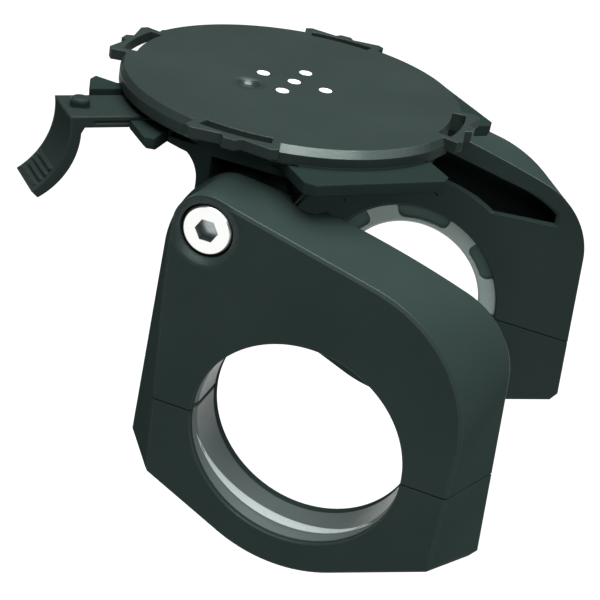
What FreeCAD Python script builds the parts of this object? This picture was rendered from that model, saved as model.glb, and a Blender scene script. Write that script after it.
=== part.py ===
import FreeCAD, Part
import math
import os

from FreeCAD import Vector

# Driving dimensions, in millimetres and degrees.
# The origin is the middle of the near clamp's bore. Y runs along the
# handlebar to the far clamp, Z is up, square to the phone plate.

# Handlebar clamps
bar_radius = 15.9             # 31.8 mm handlebar
thin_bar_radius = 12.7        # 25.4 mm handlebar, with the reducer
clamp_width = 10.2            # one clamp, along the bar
clamp_spacing = 57.0          # clamp middle to clamp middle
split_gap = 0.2               # between the clamp halves
side_wall = 7.0               # from the bar to the side, at the outboard face
far_extra_wall = 2.3          # the far clamp is this much wider on the right
right_flare = 5.1             # how much wider the inboard face is
left_flare = 5.9
under_wall = 5.2              # from the bar to the round underside
outer_corner_height = 12.8    # bottom corners below the bar axis
near_corner_height = 14.7     # the same at the inboard faces
far_corner_height = 11.3
outer_corner_cut = 0.4
inner_corner_cut = 1.2
face_bevel = 0.4              # along the outboard edge
outer_left_taper = 1.0        # the left side leans in by this, going down
outer_shoulder_radius = 21.0
near_top_slope = 13.5         # degrees, outboard top edge
far_top_slope = 10.5
inner_side_slope = 4.5        # degrees, inboard face, right side
inner_shoulder_radius = 12.5
inner_shoulder_height = 15.5  # where the inboard shoulder arc starts
inner_shoulder_end = 70.5     # degrees round the shoulder arc
inner_crown = 15.1            # inboard top edge over the bar, at the middle
inner_lobe_top = 85.5         # degrees round the pivot lobe
inner_left_lean = 1.3
lobe_drop = 9.2               # left side meets the lobe this far below the pivot

# Seats for the liner and the reducer
liner_thickness = 0.81
outboard_lip = 0.9
inboard_lip = 0.8
lip_clearance = 0.08          # round the bar
lip_chamfer = 0.4
mouth_chamfer = 0.15          # at the outboard face
ring_clearance = 0.04
ring_split_gap = 0.8
liner_lead_in = 1.6           # along the bar
liner_lead_edge = 0.1         # left thick at the liner's mouth
reducer_pocket_wall = 0.9
reducer_pocket_round = 1.2
reducer_pockets = [(90.0, 36.0), (38.5, 25.0), (141.5, 25.0)]  # middle and span, degrees

# Cored pocket in each inboard face
pocket_depth = 7.2
pocket_bar_wall = 6.5         # from the bar to the lip of the round floor
pocket_floor_drop = 3.0       # the floor falls this far towards the back
pocket_lip = 0.4              # bevel round the mouth
pocket_skin = 3.2             # under the top edge
pocket_left = -9.0
pocket_right = 13.6           # from here the top runs down to the tip
pocket_kink = 59.0            # degrees round the bore, where the floor turns level
pocket_tip = 8.4              # from the clamp's side
pocket_tip_height = 21.7      # above the bar axis
pocket_heel = 8.4
pocket_heel_height = 20.2
pocket_draft = 1.0            # at the back of the pocket

# Recess in the clamp's top edge, under the corner of a ledge
recess_distance = 10.7        # from the pivot
recess_radius = 2.6
recess_depth = 1.4
recess_offset = 0.3           # its middle lies past the inboard face

# Pivot of the phone plate
pivot_rise = 12.5             # pivot axis above the bar's surface
lobe_radius = 5.1
screw_radius = 2.0
screw_head_radius = 3.65
screw_head_height = 2.8
screw_socket_width = 3.0
screw_socket_depth = 1.4
screw_length = 16.0
screw_head_edge = 0.3
running_clearance = 0.06
head_recess_clearance = 0.3
head_recess_depth = 3.2
dish_radius = 4.9
dish_depth = 0.35

# Clamp screws
clamp_screw_radius = 1.5
clamp_screw_wall = 3.0        # from the bar's surface to the hole
clamp_screw_offset = 1.0      # from the clamp's middle, inboard
clamp_screw_head_radius = 2.75
clamp_screw_head_height = 3.0
clamp_screw_seat = -9.5
clamp_screw_grip = 8.5        # above the split
clamp_screw_socket = 2.5

# Pivot barrel and neck of the carrier
side_clearance = 0.3
barrel_radius = 6.4
insert_radius = 2.9
insert_length = 8.0
washer_radius = 4.6
washer_thickness = 0.5
washer_clearance = 0.05
neck_fillet = 5.0
neck_step = 1.3               # the fillet ends this far above the base's underside
neck_depth = 9.0              # of the cored hollow over the pivot
neck_wall = 1.9
neck_right = 9.8            # from the pivot to the right side of the neck
hollow_right = 8.0            # from the pivot to the right side of that hollow
hollow_rise = 0.7             # its roof above the base's underside
boss_radius = 4.6
screw_hole_spare = 0.6        # past the tip of the pivot screw
rib_thickness = 1.6
rib_spaces = 4                # cored spaces under the base
core_depth = 1.8

# Phone plate, seen from above as a disc with four tabs
plate_offset = -1.6           # plate's axis from the pivot
plate_rise = 11.8             # top of the plate above the pivot
plate_thickness = 2.7
plate_edge_radius = 26.3
plate_chamfer = 0.55
plate_edge_drop = 1.1
tab_turn = 2.2                # of the first tab, degrees from the X axis
tab_reach = 2.3               # past the plate's edge
tab_half_angle = 14.2
tab_corner = 2.2              # degrees
tab_corner_reach = 0.5        # the corner stands this far inside the tab's reach
tab_hollow = 1.3              # the outer edge dips this much beside the middle tooth
tab_hollow_angle = 3.2
tab_tooth_angle = 1.8         # half of the tooth, degrees
tab_tooth_drop = 0.3
tab_thickness = 1.6
tab_root = 3.0                # inside the slot
slot_width = 2.1
tab_wall = 2.1                # outside the slot
slot_half_angle = 11.6
dimple_distance = 7.9
dimple_angle = 230.0
dimple_radius = 1.7
dimple_floor = 0.8            # radius of its flat middle
dimple_depth = 0.45
rivet_spacing = 5.1
rivet_head_radius = 1.0
rivet_head_height = 0.8
rivet_radius = 0.7
rivet_length = 4.6
rivet_stand = 0.03

# Base and ledges of the carrier
base_radius = 23.6
base_thickness = 3.5
ledge_reach = 4.1             # the ledge's straight edge, past the plate's edge
ledge_half_length = 11.3
ledge_thickness = 1.7
ledge_gap = 0.1               # under the plate
ledge_corner = 1.3
ledge_root = 20.0             # inside the base
ledge_bead_gap = 0.1          # from the plate's edge to a small bead along it
ledge_bead = 0.5
ledge_bead_rise = 0.35
ledge_bead_half_angle = 22.5
long_finger_reach = 4.6       # the longer finger beside the lever, past the plate's edge
long_finger_tip = 3.5         # its tip's corner, sideways from the lever's middle
long_finger_side = 9.5
long_finger_shoulder = 2.8    # the side corner lies this far short of the tip
long_finger_neck = 6.6
finger_reach = 0.9            # the shorter finger beside the lever, past the plate's edge
finger_drop = 1.5
finger_thickness = 1.9
finger_bevel = 0.7
finger_inset = 0.4            # its end from the end of a full ledge
finger_hook = 5.1             # back edge meets the base this far in
finger_neck = 7.2

# Release lever
lever_angle = 225.0
lever_width = 8.1
lever_clearance = 0.3
lever_drop = 1.0              # arm's top below the plate
arm_thickness = 1.65
arm_reach = 9.6               # past the plate's edge
lever_pivot = 10.5            # from the plate's centre
lever_eye_radius = 1.6
lever_pin_radius = 1.0
lever_pin_grip = 2.25         # into the carrier, past each side of the lever
lever_slot_start = 3.0        # slot in the carrier starts this far before the pin
stud_inset = 2.5              # from the end of the arm
stud_radius = 1.4
stud_height = 1.35
stud_edge = 0.3
grip_waist = (0.5, 5.8)       # out and down from the end of the arm
grip_tip = (4.8, 11.3)
grip_thickness = 1.8
grip_tip_thickness = 1.0
grip_root = 2.2               # inner corner of the arm, short of its end
grip_root_bend = 0.9
grip_rib_count = 4
grip_rib_pitch = 1.05
grip_rib_radius = 0.3
grip_rib_end = 0.8            # from the sides of the grip
groove_depth = 0.25
groove_height = 0.45
groove_start = 4.0            # from the pin
groove_end = 3.5              # from the end of the arm

# Lever spring and its trough
spring_distance = 15.5
spring_radius = 1.5
spring_wire = 0.4
spring_turns = 4
spring_steps = 10             # straight steps in each turn
wire_sides = 6
spring_gap = 2.0              # between the arm and the floor of its slot
spring_recess = 0.9
spring_end_gap = 0.05
spring_clearance = 0.25
trough_inner = 9.0            # from the plate's axis
trough_outer = 17.9
trough_wall = 1.2
trough_floor = 0.8

# Derived values
outer_half_width = bar_radius + side_wall
belly_radius = bar_radius + under_wall
crown_height = bar_radius + inner_crown
left_half_width = outer_half_width + left_flare
seat_radius = bar_radius + liner_thickness + ring_clearance
lip_radius = bar_radius + lip_clearance
reducer_pocket_radius = thin_bar_radius + reducer_pocket_wall
pocket_floor_radius = bar_radius + pocket_bar_wall
clamp_screw_x = bar_radius + clamp_screw_wall + clamp_screw_radius
near_in = clamp_width / 2
near_out = -near_in
far_in = clamp_spacing - near_in
mid_y = clamp_spacing / 2
neck_near = near_in + side_clearance
neck_far = far_in - side_clearance
seat_start = near_out + outboard_lip
seat_end = near_in - inboard_lip
screw_hole_radius = screw_radius + running_clearance
pivot_x = lobe_radius - outer_half_width
pivot_height = bar_radius + pivot_rise
hinge = (pivot_x, pivot_height)
bore = (0, 0)
plate_x = pivot_x + plate_offset
plate_top = pivot_height + plate_rise
plate_bottom = plate_top - plate_thickness
plate_radius = plate_edge_radius - plate_chamfer
tab_radius = plate_edge_radius + tab_reach
slot_outer = tab_radius - tab_wall
slot_inner = slot_outer - slot_width
base_bottom = plate_bottom - base_thickness
ledge_distance = plate_edge_radius + ledge_reach
ledge_bead_radius = plate_edge_radius + ledge_bead_gap
finger_distance = plate_edge_radius + finger_reach
ledge_top = plate_bottom - ledge_gap
finger_top = plate_bottom - finger_drop
arm_top = plate_bottom - lever_drop
arm_bottom = arm_top - arm_thickness
arm_end = plate_edge_radius + arm_reach
stud_distance = arm_end - stud_inset
lever_pivot_height = arm_top - arm_thickness / 2
lever_pin_length = lever_width + 2 * lever_pin_grip
slot_half_width = lever_width / 2 + lever_clearance
spring_seat_height = arm_bottom - spring_gap
plate_centre = Vector(plate_x, mid_y, 0)
reach = 80.0                  # longer than the part, for cutting blocks

Y = Vector(0, 1, 0)
Z = Vector(0, 0, 1)


def polar(centre, radius, degrees):
    """A point in the XZ plane, round a centre given as (x, z)."""
    turn = math.radians(degrees)
    return (centre[0] + radius * math.cos(turn), centre[1] + radius * math.sin(turn))


def at(point, y):
    return Vector(point[0], y, point[1])


def line(start, end):
    return Part.LineSegment(start, end).toShape()


def arc(start, middle, end):
    return Part.Arc(start, middle, end).toShape()


def cylinder_y(radius, centre, start, end):
    return Part.makeCylinder(radius, end - start, Vector(centre[0], start, centre[1]), Y)


def cone_y(radius_start, radius_end, centre, start, end):
    return Part.makeCone(radius_start, radius_end, end - start, Vector(centre[0], start, centre[1]), Y)


def disc(radius, low, high, centre=plate_centre):
    return Part.makeCylinder(radius, high - low, centre + Z * low, Z)


def block(low, high):
    return Part.makeBox(high[0] - low[0], high[1] - low[1], high[2] - low[2], Vector(*low))


def mirrored(shape):
    """The same piece on the far side of the mount."""
    return shape.mirror(Vector(0, mid_y, 0), Y)


def sector(inner, outer, low, high, middle, half_angle):
    """A ring sector about the plate's axis."""
    start = math.radians(middle - half_angle)
    end = math.radians(middle + half_angle)
    centre_turn = math.radians(middle)

    def spot(radius, turn):
        return plate_centre + Vector(radius * math.cos(turn), radius * math.sin(turn), low)

    edges = [
        arc(spot(outer, start), spot(outer, centre_turn), spot(outer, end)),
        line(spot(outer, end), spot(inner, end)),
        arc(spot(inner, end), spot(inner, centre_turn), spot(inner, start)),
        line(spot(inner, start), spot(outer, start)),
    ]
    return Part.Face(Part.Wire(edges)).extrude(Z * (high - low))


def radial_block(inner, outer, half_width, low, high, degrees=lever_angle):
    """A block along a radius of the plate."""
    piece = block((inner, -half_width, low), (outer, half_width, high))
    piece.rotate(Vector(0, 0, 0), Z, degrees)
    piece.translate(plate_centre)
    return piece


def hexagon(width, base, axis, depth):
    """A hexagonal prism; width is across the flats."""
    corner = width / math.sqrt(3)
    side = Part.makePolygon([Vector(corner * math.cos(math.radians(60 * i)),
                                    corner * math.sin(math.radians(60 * i)), 0) for i in range(7)])
    prism = Part.Face(side).extrude(Z * depth)
    prism.Placement = FreeCAD.Placement(base, FreeCAD.Rotation(Z, axis))
    return prism


def cut_corner(before, corner, after, size):
    """Start and end of the bevel that cuts a corner of an outline."""
    ends = []
    for point in (before, after):
        share = size / math.hypot(point[0] - corner[0], point[1] - corner[1])
        ends.append((corner[0] + share * (point[0] - corner[0]), corner[1] + share * (point[1] - corner[1])))
    return ends


def belly_corner(half_width, height, inset):
    """A bottom right corner, and where the line from it touches the round underside."""
    distance = math.hypot(half_width, height)
    turn = math.atan2(-height, half_width) - math.acos(belly_radius / distance)
    lean = math.pi / 2 + turn
    rise = inset * (1 - math.sin(lean)) / math.cos(lean)
    return (half_width - inset, rise - height), polar(bore, belly_radius - inset, math.degrees(turn))


def clamp_outline(y, widths, corner, cut, shoulder, lobe_top, lobe_left, left_blend, left_top, top_middle,
                  inset=0.0):
    """Closed outline of one clamp in the plane at y.

    widths are the half widths to the left and right bottom corners, corner is
    their height and cut the size of their bevels; shoulder is (start, middle,
    end) from the side to the top edge; lobe_top and lobe_left are angles on the
    pivot lobe; left_blend and top_middle are None where that edge is straight;
    inset draws the whole outline smaller.
    """
    left, belly_left = [(-p[0], p[1]) for p in belly_corner(widths[0], corner, inset)]
    right, belly_right = belly_corner(widths[1], corner, inset)
    lobe = lobe_radius - inset
    top = polar(hinge, lobe, lobe_top)
    lobe_mid = polar(hinge, lobe, (lobe_top + lobe_left) / 2)
    lobe_end = polar(hinge, lobe, lobe_left)
    right_cut = cut_corner(belly_right, right, shoulder[0], cut)
    left_cut = cut_corner(left_top, left, belly_left, cut)
    edges = [line(at(right_cut[1], y), at(shoulder[0], y)), arc(*[at(p, y) for p in shoulder])]
    if top_middle:
        edges.append(arc(at(shoulder[2], y), at(top_middle, y), at(top, y)))
    else:
        edges.append(line(at(shoulder[2], y), at(top, y)))
    edges.append(arc(at(top, y), at(lobe_mid, y), at(lobe_end, y)))
    if left_blend:
        edges.append(arc(at(lobe_end, y), at(left_blend, y), at(left_top, y)))
    else:
        edges.append(line(at(lobe_end, y), at(left_top, y)))
    edges.append(line(at(left_top, y), at(left_cut[0], y)))
    edges.append(line(at(left_cut[0], y), at(left_cut[1], y)))
    edges.append(line(at(left_cut[1], y), at(belly_left, y)))
    edges.append(arc(at(belly_left, y), at((0, inset - belly_radius), y), at(belly_right, y)))
    edges.append(line(at(belly_right, y), at(right_cut[0], y)))
    edges.append(line(at(right_cut[0], y), at(right_cut[1], y)))
    return Part.Wire(edges)


def outboard_outline(y, half_width, slope, inset):
    normal = 90 - slope
    turn = math.radians(normal)
    shoulder_x = half_width - outer_shoulder_radius
    top_line = pivot_x * math.cos(turn) + pivot_height * math.sin(turn) + lobe_radius
    shoulder_z = (top_line - outer_shoulder_radius - shoulder_x * math.cos(turn)) / math.sin(turn)
    centre = (shoulder_x, shoulder_z)
    shoulder = [polar(centre, outer_shoulder_radius - inset, a) for a in (0, normal / 2, normal)]
    left_top = (inset - outer_half_width, pivot_height - lobe_drop)
    widths = (outer_half_width - outer_left_taper, half_width)
    return clamp_outline(y, widths, outer_corner_height, outer_corner_cut, shoulder, normal, 180, None,
                         left_top, None, inset)


def inboard_shoulder(half_width):
    """Start, middle and end of the shoulder arc of the inboard outline."""
    rise = inner_shoulder_height + outer_corner_height
    lean = rise * math.tan(math.radians(inner_side_slope))
    side_top = (half_width - lean, inner_shoulder_height)
    centre = polar(side_top, -inner_shoulder_radius, inner_side_slope)
    middle = (inner_side_slope + inner_shoulder_end) / 2
    return [polar(centre, inner_shoulder_radius, a) for a in (inner_side_slope, middle, inner_shoulder_end)]


def inboard_outline(half_width, corner):
    left_top = (inner_left_lean - left_half_width, pivot_height - lobe_drop)
    gap = pivot_x - left_top[0]
    blend_radius = (gap ** 2 + lobe_drop ** 2 - lobe_radius ** 2) / (2 * (gap - lobe_radius))
    blend_centre = (left_top[0] + blend_radius, left_top[1])
    turn = math.degrees(math.atan2(pivot_height - blend_centre[1], pivot_x - blend_centre[0]))
    blend = polar(blend_centre, blend_radius, (turn + 180) / 2)
    return clamp_outline(near_in, (left_half_width, half_width), corner, inner_corner_cut,
                         inboard_shoulder(half_width), inner_lobe_top, turn, blend, left_top,
                         (0, crown_height))


def circle_through(first, second, third):
    """Centre and radius of the circle through three (x, z) points."""
    curve = arc(at(first, 0), at(second, 0), at(third, 0)).Curve
    return (curve.Center.x, curve.Center.z), curve.Radius


def under_crown(x, depth, half_width):
    """A point below the crowned inboard top edge."""
    lobe = polar(hinge, lobe_radius, inner_lobe_top)
    centre, radius = circle_through(inboard_shoulder(half_width)[2], (0, crown_height), lobe)
    return (x, centre[1] + math.sqrt(radius ** 2 - (x - centre[0]) ** 2) - depth)


def pocket_outline(y, half_width, inset, drop):
    """Outline of the cored pocket; inset draws its walls in, drop lowers its floor."""
    floor = pocket_floor_radius - drop
    left = pocket_left + inset
    right = pocket_right - 2 * inset
    tip = (half_width - pocket_tip - 2 * inset, pocket_tip_height - inset)
    heel = (half_width - pocket_heel - 2 * inset, pocket_heel_height - drop)
    top_left = under_crown(left, pocket_skin + inset, half_width)
    top_right = under_crown(right, pocket_skin + inset, half_width)
    nose = ((top_right[0] + 2 * tip[0]) / 3, (top_right[1] + tip[1]) / 2)
    kink = polar(bore, floor, pocket_kink)
    floor_left = (left, math.sqrt(floor ** 2 - left ** 2))
    edges = [
        line(at(floor_left, y), at(top_left, y)),
        line(at(top_left, y), at(top_right, y)),
        arc(at(top_right, y), at(nose, y), at(tip, y)),
        line(at(tip, y), at(heel, y)),
        line(at(heel, y), at(kink, y)),
        arc(at(kink, y), at((0, floor), y), at(floor_left, y)),
    ]
    return Part.Wire(edges)


def cored_pocket(half_width):
    """Hollow between the bore wall and the top skin, open inboard."""
    back = pocket_outline(near_in - pocket_depth, half_width, pocket_draft, pocket_floor_drop)
    mouth = pocket_outline(near_in - pocket_lip, half_width, 0, 0)
    lip = pocket_outline(near_in, half_width, -pocket_lip, pocket_lip)
    past_lip = lip.copy()
    past_lip.translate(Y)
    return Part.makeLoft([back, mouth, lip, past_lip], True, True)


def ledge_recess(half_width):
    """Round bite in the inboard top edge, below the near corner of a ledge."""
    edge = under_crown(pivot_x + recess_distance, recess_depth, half_width)
    return Part.makeCylinder(recess_radius, reach, Vector(edge[0], near_in + recess_offset, edge[1]), Z)


def clamp_body(outer_width, slope, corner):
    half_width = outer_width + right_flare
    outlines = [outboard_outline(near_out, outer_width, slope, face_bevel),
                outboard_outline(near_out + face_bevel, outer_width, slope, 0),
                inboard_outline(half_width, corner)]
    body = Part.makeLoft(outlines, True, True)
    body = body.cut(cylinder_y(lip_radius, bore, near_out - 1, near_in + 1))
    body = body.cut(cylinder_y(seat_radius, bore, seat_start, seat_end))
    body = body.cut(cone_y(lip_radius + mouth_chamfer, lip_radius, bore, near_out, near_out + mouth_chamfer))
    body = body.cut(cone_y(lip_radius, lip_radius + lip_chamfer, bore, near_in - lip_chamfer, near_in))
    body = body.cut(cored_pocket(half_width))
    body = body.cut(ledge_recess(half_width))
    body = body.cut(cylinder_y(screw_hole_radius, hinge, near_out - 1, near_in + 1))
    body = body.cut(cylinder_y(screw_head_radius + head_recess_clearance, hinge,
                               near_out - 1, near_out + head_recess_depth))
    body = body.cut(cone_y(dish_radius, screw_head_radius + head_recess_clearance, hinge,
                           near_out, near_out + dish_depth))
    return body


def clamp_screw_spots():
    return [Vector(side * clamp_screw_x, clamp_screw_offset, 0) for side in (-1, 1)]


def clamp_halves(outer_width, slope, corner):
    body = clamp_body(outer_width, slope, corner)
    top = block((-reach, -reach, split_gap / 2), (reach, reach, reach))
    bottom = block((-reach, -reach, -reach), (reach, reach, -split_gap / 2))
    upper = body.common(top)
    lower = body.common(bottom)
    for spot in clamp_screw_spots():
        grip = Part.makeCylinder(clamp_screw_radius, clamp_screw_grip + 1, spot, Z)
        upper = upper.cut(grip)
        shank = Part.makeCylinder(clamp_screw_radius + running_clearance, reach, spot - Z * reach, Z)
        head_depth = reach + clamp_screw_seat
        head = Part.makeCylinder(clamp_screw_head_radius + head_recess_clearance, head_depth,
                                 spot - Z * reach, Z)
        lower = lower.cut(shank).cut(head)
    return upper, lower


def clamp_screws():
    screws = []
    for spot in clamp_screw_spots():
        seat = spot + Z * clamp_screw_seat
        shank = Part.makeCylinder(clamp_screw_radius, clamp_screw_grip - clamp_screw_seat, seat, Z)
        head = Part.makeCylinder(clamp_screw_head_radius, clamp_screw_head_height,
                                 seat - Z * clamp_screw_head_height, Z)
        socket = hexagon(clamp_screw_socket, seat - Z * clamp_screw_head_height, Z, screw_socket_depth)
        screws.append(shank.fuse(head).cut(socket).removeSplitter())
    return Part.makeCompound(screws)


def split_ring(ring):
    """The upper and lower halves of a ring about the bar."""
    half_gap = ring_split_gap / 2
    upper = ring.common(block((-reach, -reach, half_gap), (reach, reach, reach)))
    lower = ring.common(block((-reach, -reach, -reach), (reach, reach, -half_gap)))
    return upper, lower


def liner():
    start = seat_start + ring_clearance
    end = seat_end - ring_clearance
    outer = seat_radius - ring_clearance
    ring = cylinder_y(outer, bore, start, end).cut(cylinder_y(bar_radius, bore, start, end))
    lead = cone_y(outer - liner_lead_edge, bar_radius, bore, start, start + liner_lead_in)
    return ring.cut(lead)


def reducer_pocket(middle, span, start, end):
    """One pocket that opens at the outside of the reducer, with round inner corners."""
    outer = seat_radius + 1
    corner = reducer_pocket_round
    inner = reducer_pocket_radius
    turn_in = math.degrees(corner / (inner + corner))
    bend = 1 - math.sqrt(0.5)
    low = middle - span / 2
    high = middle + span / 2

    def spot(radius, turn):
        return at(polar(bore, radius, turn), start)

    edges = [
        line(spot(outer, low), spot(inner + corner, low)),
        arc(spot(inner + corner, low), spot(inner + bend * corner, low + bend * turn_in),
            spot(inner, low + turn_in)),
        arc(spot(inner, low + turn_in), spot(inner, middle), spot(inner, high - turn_in)),
        arc(spot(inner, high - turn_in), spot(inner + bend * corner, high - bend * turn_in),
            spot(inner + corner, high)),
        line(spot(inner + corner, high), spot(outer, high)),
        arc(spot(outer, high), spot(outer, middle), spot(outer, low)),
    ]
    return Part.Face(Part.Wire(edges)).extrude(Y * (end - start))


def reducer():
    start = seat_start + ring_clearance
    end = seat_end - ring_clearance
    outer = seat_radius - ring_clearance
    ring = cylinder_y(outer, bore, start, end).cut(cylinder_y(thin_bar_radius, bore, start, end))
    ring = ring.cut(cone_y(thin_bar_radius, thin_bar_radius + lip_chamfer, bore, end - lip_chamfer, end))
    for middle, span in reducer_pockets:
        for turn in (0, 180):
            ring = ring.cut(reducer_pocket(middle + turn, span, start - 1, end + 1))
    return ring


def pivot_screw():
    face = near_out + head_recess_depth - screw_head_height
    head = cylinder_y(screw_head_radius, hinge, face + screw_head_edge, face + screw_head_height)
    bevel_radius = screw_head_radius - screw_head_edge
    bevel = cone_y(bevel_radius, screw_head_radius, hinge, face, face + screw_head_edge)
    shank = cylinder_y(screw_radius, hinge, face + screw_head_height, face + screw_head_height + screw_length)
    socket = hexagon(screw_socket_width, Vector(pivot_x, face, pivot_height), Y, screw_socket_depth)
    return head.fuse(bevel).fuse(shank).cut(socket).removeSplitter()


def barrel_end():
    return near_in + washer_thickness + 2 * washer_clearance


def pivot_insert():
    start = barrel_end()
    sleeve = cylinder_y(insert_radius, hinge, start, start + insert_length)
    return sleeve.cut(cylinder_y(screw_radius, hinge, start, start + insert_length))


def tilt_washer():
    start = near_in + washer_clearance
    end = start + washer_thickness
    ring = cylinder_y(washer_radius, hinge, start, end)
    return ring.cut(cylinder_y(screw_hole_radius, hinge, start, end))


def neck_profile(y):
    """Side view of the neck: round barrel, fillet up to the base, leaning right side."""
    left = pivot_x - barrel_radius
    fillet_centre = (left - neck_fillet, base_bottom + neck_step - neck_fillet)
    fillet_top = (fillet_centre[0], fillet_centre[1] + neck_fillet)
    fillet_mid = polar(fillet_centre, neck_fillet, 45)
    fillet_low = (left, fillet_centre[1])
    corner = (pivot_x + neck_right, base_bottom)
    gap = math.hypot(corner[0] - pivot_x, corner[1] - pivot_height)
    lean = math.degrees(math.atan2(corner[1] - pivot_height, corner[0] - pivot_x))
    touch = lean - math.degrees(math.acos(barrel_radius / gap))
    tangent = polar(hinge, barrel_radius, touch)
    barrel_mid = polar(hinge, barrel_radius, (touch - 180) / 2)
    roof = (base_bottom + plate_bottom) / 2
    edges = [
        line(at((corner[0], roof), y), at((fillet_top[0], roof), y)),
        line(at((fillet_top[0], roof), y), at(fillet_top, y)),
        arc(at(fillet_top, y), at(fillet_mid, y), at(fillet_low, y)),
        line(at(fillet_low, y), at((left, pivot_height), y)),
        arc(at((left, pivot_height), y), at(barrel_mid, y), at(tangent, y)),
        line(at(tangent, y), at(corner, y)),
        line(at(corner, y), at((corner[0], roof), y)),
    ]
    return Part.Wire(edges)


def neck_core(start, end):
    """The cored hollow over the pivot, at one end of the neck."""
    left = pivot_x - barrel_radius + neck_wall
    hollow = block((left, start, pivot_height - barrel_radius),
                   (pivot_x + hollow_right, end, base_bottom + hollow_rise))
    return hollow.cut(cylinder_y(boss_radius, hinge, start - 1, end + 1))


def base_spaces():
    """Cored spaces under the base, open below, with ribs between them."""
    pitch = (neck_far - neck_near - rib_thickness) / rib_spaces
    left = pivot_x + neck_right + rib_thickness
    outline = disc(base_radius - rib_thickness, 0, plate_bottom)
    spaces = []
    for i in range(rib_spaces):
        start = neck_near + rib_thickness + i * pitch
        space = block((left, start, 0), (reach, start + pitch - rib_thickness, base_bottom + core_depth))
        spaces.append(space.common(outline))
    return spaces


def rivet_spots():
    steps = [(0, 0), (1, 0), (-1, 0), (0, 1), (0, -1)]
    return [plate_centre + Vector(rivet_spacing * i, rivet_spacing * j, 0) for i, j in steps]


def plan_piece(points, low, high, degrees):
    """A flat piece drawn as (outward, sideways) points, turned about the plate's axis."""
    corners = [Vector(p[0], p[1], low) for p in points]
    piece = Part.Face(Part.makePolygon(corners + corners[:1])).extrude(Z * (high - low))
    piece.rotate(Vector(0, 0, 0), Z, degrees)
    piece.translate(plate_centre)
    return piece


def ledge(angle):
    """A straight bar beside the plate."""
    outer = ledge_distance
    half = [(ledge_root, ledge_half_length), (outer - ledge_corner, ledge_half_length),
            (outer, ledge_half_length - ledge_corner)]
    points = half + [(p[0], -p[1]) for p in reversed(half)]
    return plan_piece(points, ledge_top - ledge_thickness, ledge_top, angle)


def ledge_rim(angle):
    """The bead on a ledge, along the plate's edge."""
    return sector(ledge_bead_radius - ledge_bead, ledge_bead_radius, ledge_top - ledge_bead,
                  ledge_top + ledge_bead_rise, angle, ledge_bead_half_angle)


def long_finger():
    """The longer finger on one side of the lever; it widens outwards to its side corner."""
    tip = plate_edge_radius + long_finger_reach
    shoulder = tip - long_finger_shoulder
    points = [(ledge_root, 0), (ledge_root, -long_finger_neck), (plate_radius, -long_finger_neck),
              (shoulder, -long_finger_side), (shoulder + ledge_corner, ledge_corner - long_finger_side),
              (tip, -long_finger_tip), (tip, 0)]
    return plan_piece(points, ledge_top - ledge_thickness, ledge_top, lever_angle)


def short_finger():
    """The shorter, lower ledge on one side of the lever."""
    outer = finger_distance
    side = ledge_half_length - finger_inset
    points = [(ledge_root, 0), (outer, 0), (outer, side - finger_bevel), (outer - ledge_corner, side),
              (outer - finger_hook, side - finger_hook + ledge_corner), (ledge_root, finger_neck)]
    low = finger_top - finger_thickness
    piece = plan_piece(points, low, finger_top, lever_angle)
    edges = [e for e in piece.Edges if is_finger_foot(e, low)]
    return piece.makeChamfer(finger_bevel, edges)


def is_finger_foot(edge, low):
    """Whether an edge runs along the outer foot of the short finger."""
    level = all(math.isclose(v.Point.z, low) for v in edge.Vertexes)
    middle = edge.CenterOfMass - plate_centre - Z * low
    return level and middle.Length > finger_distance - ledge_corner


def lever_trough():
    low = spring_seat_height - trough_floor
    return radial_block(trough_inner, trough_outer, slot_half_width + trough_wall, low, base_bottom + 1)


def carrier():
    neck = Part.Face(neck_profile(neck_near)).extrude(Y * (neck_far - neck_near))
    base = disc(base_radius, base_bottom, plate_bottom)
    body = neck.fuse(base).common(block((-reach, neck_near, 0), (reach, neck_far, plate_top)))
    body = body.fuse(lever_trough())
    for angle in (45, 135, 315):
        body = body.fuse(ledge(angle))
    body = body.fuse(long_finger()).fuse(short_finger())
    for angle in (45, 315):
        body = body.fuse(ledge_rim(angle))
    body = body.cut(neck_core(neck_near - 1, neck_near + neck_depth))
    body = body.cut(neck_core(neck_far - neck_depth, neck_far + 1))
    recess = barrel_end()
    for start, end in ((neck_near - 1, recess), (2 * mid_y - recess, neck_far + 1)):
        body = body.cut(cylinder_y(washer_radius + side_clearance, hinge, start, end))
    hole = insert_length + recess
    for start, end in ((neck_near - 1, hole), (2 * mid_y - hole, neck_far + 1)):
        body = body.cut(cylinder_y(insert_radius, hinge, start, end))
    tip = near_out + head_recess_depth + screw_length + screw_hole_spare
    for start, end in ((neck_near, tip), (2 * mid_y - tip, neck_far)):
        body = body.cut(cylinder_y(screw_hole_radius, hinge, start, end))
    for space in base_spaces():
        body = body.cut(space)
    body = body.cut(radial_block(lever_pivot - lever_slot_start, reach, slot_half_width,
                                 spring_seat_height, plate_bottom))
    body = body.cut(lever_pin())
    for spot in rivet_spots():
        body = body.cut(Part.makeCylinder(rivet_radius, reach, spot + Z * (plate_top - rivet_length), Z))
    return body.removeSplitter()


def lever_pin():
    turn = math.radians(lever_angle)
    axis = Vector(-math.sin(turn), math.cos(turn), 0)
    along = Vector(math.cos(turn), math.sin(turn), 0)
    middle = plate_centre + along * lever_pivot + Z * lever_pivot_height
    return Part.makeCylinder(lever_pin_radius, lever_pin_length, middle - axis * (lever_pin_length / 2), axis)


def on_grip(point):
    """A point given as out and down from the end of the arm."""
    return (arm_end + point[0], arm_top - point[1])


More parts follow.
